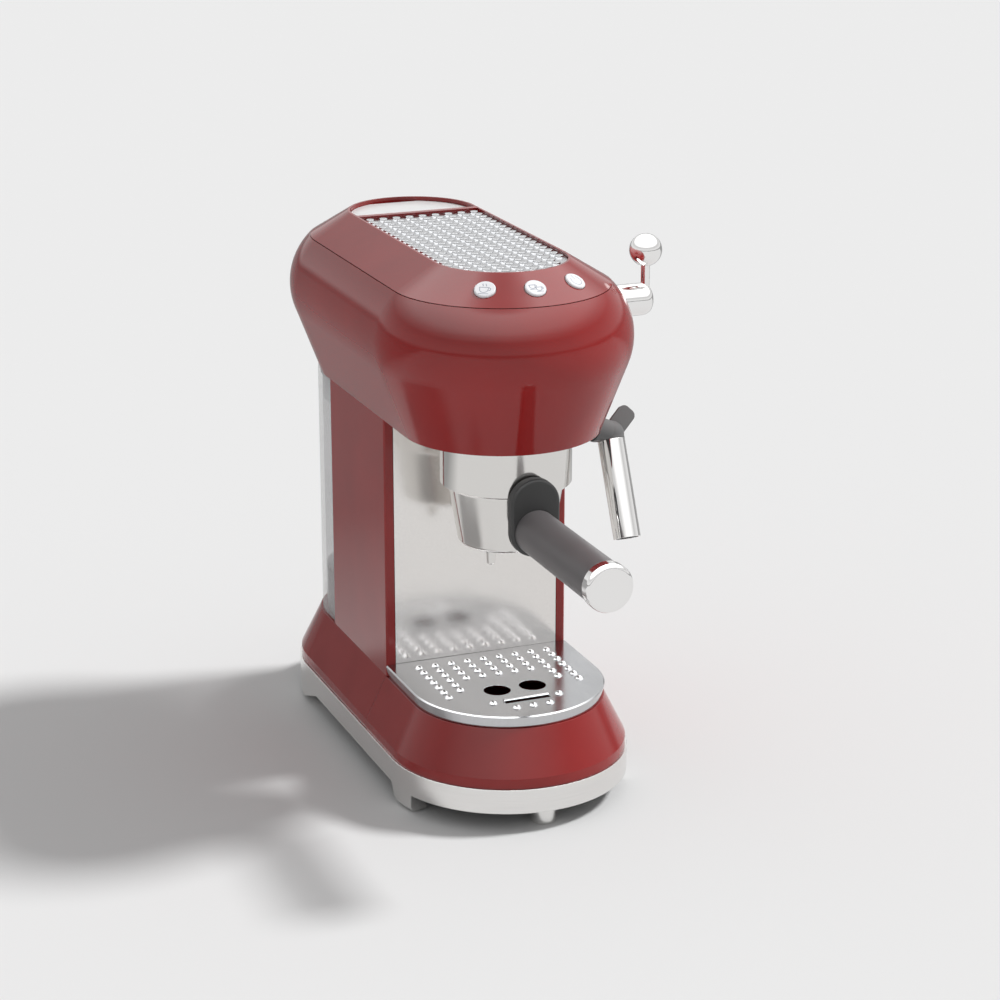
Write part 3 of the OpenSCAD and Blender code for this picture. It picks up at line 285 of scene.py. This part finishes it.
def stroke(bm, points, width, place, low=PROUD - 0.04, high=PROUD + 0.03):
    """A printed line: a thin closed ribbon along the points, with square ends."""
    rows = []
    for i, (x, y) in enumerate(points):
        x0, y0 = points[max(i - 1, 0)]
        x1, y1 = points[min(i + 1, len(points) - 1)]
        length = math.hypot(x1 - x0, y1 - y0)
        nx, ny = -(y1 - y0) / length * width / 2, (x1 - x0) / length * width / 2
        rows.append([
            bm.verts.new(place @ Vector(p) * MM)
            for p in (
                (x + nx, y + ny, low),
                (x - nx, y - ny, low),
                (x - nx, y - ny, high),
                (x + nx, y + ny, high),
            )
        ])
    for a, b in zip(rows, rows[1:]):
        for k in range(4):
            bm.faces.new((a[k], a[(k + 1) % 4], b[(k + 1) % 4], b[k]))
    bm.faces.new(rows[0][::-1])
    bm.faces.new(rows[-1])


def cup(x, y, size):
    """Side view of a cup with its rim, handle and saucer, about four sizes wide."""
    rim_y = y + 1.2 * size
    saucer_y = y - 2.1 * size
    half_mouth = 1.7 * size
    half_rim = 1.9 * size
    bowl = arc(x, y, 1.6 * size, 180, 360, steps=16, squeeze=0.9)
    return [
        [(x - half_mouth, rim_y), *bowl, (x + half_mouth, rim_y)],
        [(x - half_rim, rim_y), (x + half_rim, rim_y)],
        arc(x + half_mouth, y + 0.3 * size, 0.8 * size, 75, -80, steps=12),
        [(x - half_rim, saucer_y), (x + half_rim, saucer_y)],
    ]


def steam(x, y, size):
    """A wavy line that rises from a cup, about two sizes tall."""
    sway, rise = 0.22 * size, 0.3 * size
    return [(x + sway * math.sin(t * 1.05), y + rise * t) for t in range(7)]


def power(y, r):
    """An open ring with an upright line through its gap."""
    gap_end, gap_start = 125, 415
    return [arc(0, y, r, gap_end, gap_start, steps=40), [(0, 0.3), (0, 4.0)]]


signs = {
    "button_one_cup": (
        -BUTTON_ANGLE,
        cup(-0.3, -0.9, 1.4) + [steam(-1.2, 1.6, 1.0), steam(0.5, 1.6, 1.0)],
    ),
    "button_two_cup": (0, cup(-1.75, 0.7, 0.95) + cup(1.45, -1.2, 0.95)),
    "button_power": (BUTTON_ANGLE, power(-0.3, 3.2)),
}
for body, (degrees, lines) in signs.items():
    bm = bmesh.new()
    for line in lines:
        stroke(bm, line, LINE_WIDTH, on_slope(degrees))
    bmesh.ops.recalc_face_normals(bm, faces=bm.faces)
    mesh = bpy.data.meshes.new(body + "_sign")
    bm.to_mesh(mesh)
    bm.free()
    mesh.materials.append(mats["icon"])
    sign = bpy.data.objects.new(body + "_sign", mesh)
    bpy.context.scene.collection.objects.link(sign)
    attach(sign, body)


# ---------- floor ----------

FLOOR_HALF = 30  # metres, so that no view sees its edge
FLOOR_DROP = 0.0002  # metres, which keeps it clear of the feet
DIM_START = 0.15  # metres behind the origin, where its mirror image starts to darken
DIM_END = 0.42
DIM_SHARE = 0.55  # how much of its brightness is gone at the end


def backdrop(name, colour):
    """Plain pale surface. In mirror rays its colour is painted darker to the rear, a painted shade that
    stands in for the dim end of a studio.
    """
    mat, tree, bsdf = new_material(name)
    bsdf.inputs["Roughness"].default_value = 0.9
    bsdf.inputs["Specular IOR Level"].default_value = 0.0
    split = node(tree, "ShaderNodeSeparateXYZ")
    tree.links.new(node(tree, "ShaderNodeTexCoord").outputs["Object"], split.inputs[0])
    # painted shade: only in mirror rays, the floor's colour fades towards black behind the origin
    dim = ramp(tree, split.outputs["Y"], 0.0, DIM_SHARE, DIM_START, DIM_END)
    gloss = node(tree, "ShaderNodeMath", operation="MULTIPLY")
    tree.links.new(dim, gloss.inputs[0])
    tree.links.new(node(tree, "ShaderNodeLightPath").outputs["Is Glossy Ray"], gloss.inputs[1])
    mix = node(tree, "ShaderNodeMix", data_type="RGBA")
    factor, plain, dark = mix.inputs[0], mix.inputs[6], mix.inputs[7]
    plain.default_value = (*shade(colour), 1)
    dark.default_value = (0, 0, 0, 1)
    tree.links.new(gloss.outputs[0], factor)
    tree.links.new(mix.outputs[2], bsdf.inputs["Base Color"])
    return mat


floor_mesh = bpy.data.meshes.new("floor")
bm = bmesh.new()
bmesh.ops.create_grid(bm, x_segments=1, y_segments=1, size=FLOOR_HALF)
bm.to_mesh(floor_mesh)
bm.free()
floor = bpy.data.objects.new("floor", floor_mesh)
floor.location.z = -FLOOR_DROP
bpy.context.scene.collection.objects.link(floor)
floor_mesh.materials.append(backdrop("floor_grey", (232, 232, 232)))


# ---------- camera, fitted to the photo ----------

SENSOR = 36  # mm
PHOTO_WIDTH = 1000  # pixels
FOCAL_PIXELS = 2640
CAMERA_AT = (-518.3, -1359.2, 614.1)  # mm
AZIMUTH, ELEVATION = -21.89, 17.87  # degrees

cam_data = bpy.data.cameras.new("camera")
cam_data.sensor_width = SENSOR
cam_data.lens = SENSOR * FOCAL_PIXELS / PHOTO_WIDTH
cam_data.clip_start = 0.05
cam_data.clip_end = 60
cam = bpy.data.objects.new("camera", cam_data)
azimuth, elevation = math.radians(AZIMUTH), math.radians(ELEVATION)
back = Vector((
    math.sin(azimuth) * math.cos(elevation),
    -math.cos(azimuth) * math.cos(elevation),
    math.sin(elevation),
))
cam.location = Vector(CAMERA_AT) * MM
cam.rotation_mode = "QUATERNION"
cam.rotation_quaternion = (-back).to_track_quat("-Z", "Y")
bpy.context.scene.collection.objects.link(cam)
bpy.context.scene.camera = cam


# ---------- world ----------

# What shiny surfaces mirror: the light's level by the height of the mirrored ray's direction,
# from 0 at the horizon to 1 straight up.
MIRRORED = (
    (0.0, 0.3),  # a dim band at the horizon
    (0.035, 0.33),
    (0.09, 0.9),  # pale walls
    (0.25, 0.78),
    (0.36, 0.65),
    (0.48, 1.3),  # broad soft light overhead
    (0.62, 2.5),
    (0.92, 3.7),
    (0.98, 1.2),  # and its dim middle
)
BRIGHTEST = 4.0  # the level of a full white in the ramp, whose colours stop at 1
FILL = 0.47  # what lights dull surfaces from all round
PALE = (236, 236, 236)  # what the camera sees behind the floor

world = bpy.data.worlds.new("studio")
bpy.context.scene.world = world
world.use_nodes = True
tree = world.node_tree
tree.nodes.clear()
out = tree.nodes.new("ShaderNodeOutputWorld")
path = node(tree, "ShaderNodeLightPath")


def background(colour, strength=1.0):
    """A background of one colour, or of a colour that a node gives."""
    bg = node(tree, "ShaderNodeBackground", Strength=strength)
    if hasattr(colour, "links"):
        tree.links.new(colour, bg.inputs["Color"])
    else:
        bg.inputs["Color"].default_value = (*colour, 1)
    return bg.outputs[0]


def pick(ray, usual, special):
    """The usual background, or the special one for rays of this kind."""
    mix = node(tree, "ShaderNodeMixShader")
    tree.links.new(ray, mix.inputs[0])
    tree.links.new(usual, mix.inputs[1])
    tree.links.new(special, mix.inputs[2])
    return mix.outputs[0]


split = node(tree, "ShaderNodeSeparateXYZ")
tree.links.new(node(tree, "ShaderNodeTexCoord").outputs["Generated"], split.inputs[0])
sky = node(tree, "ShaderNodeValToRGB")
while len(sky.color_ramp.elements) < len(MIRRORED):
    sky.color_ramp.elements.new(0.5)
for element, (at, level) in zip(sky.color_ramp.elements, MIRRORED):
    element.position = at
    element.color = (*[level / BRIGHTEST] * 3, 1)
tree.links.new(split.outputs["Z"], sky.inputs["Fac"])

# only in a surface that is seen directly or in a mirror, not in the light that a floor scatters
direct = node(tree, "ShaderNodeMath", operation="LESS_THAN")
direct.inputs[1].default_value = 0.5
tree.links.new(path.outputs["Diffuse Depth"], direct.inputs[0])
mirrored = node(tree, "ShaderNodeMath", operation="MULTIPLY")
tree.links.new(path.outputs["Is Glossy Ray"], mirrored.inputs[0])
tree.links.new(direct.outputs[0], mirrored.inputs[1])

studio = background(sky.outputs["Color"], BRIGHTEST)
shown = pick(mirrored.outputs[0], background((FILL, FILL, FILL)), studio)
shown = pick(path.outputs["Is Transmission Ray"], shown, background(shade(PALE)))
shown = pick(path.outputs["Is Camera Ray"], shown, background(shade(PALE)))
tree.links.new(shown, out.inputs[0])


# ---------- sun ----------

SUN_FROM = (1.58, -0.19, 1.94)  # metres
SUN_POWER = 2.4
SUN_ANGLE = 10  # degrees across, for a shadow with soft edges
AIM = (0, 0, 0.15)

data = bpy.data.lights.new("key", "SUN")
data.energy = SUN_POWER
data.angle = math.radians(SUN_ANGLE)
sun = bpy.data.objects.new("key", data)
sun.location = SUN_FROM
sun.rotation_mode = "QUATERNION"
sun.rotation_quaternion = (Vector(SUN_FROM) - Vector(AIM)).to_track_quat("Z", "Y")
sun.visible_glossy = False  # the mirrored light above stands in for it
bpy.context.scene.collection.objects.link(sun)

bpy.context.scene.view_settings.view_transform = "Standard"
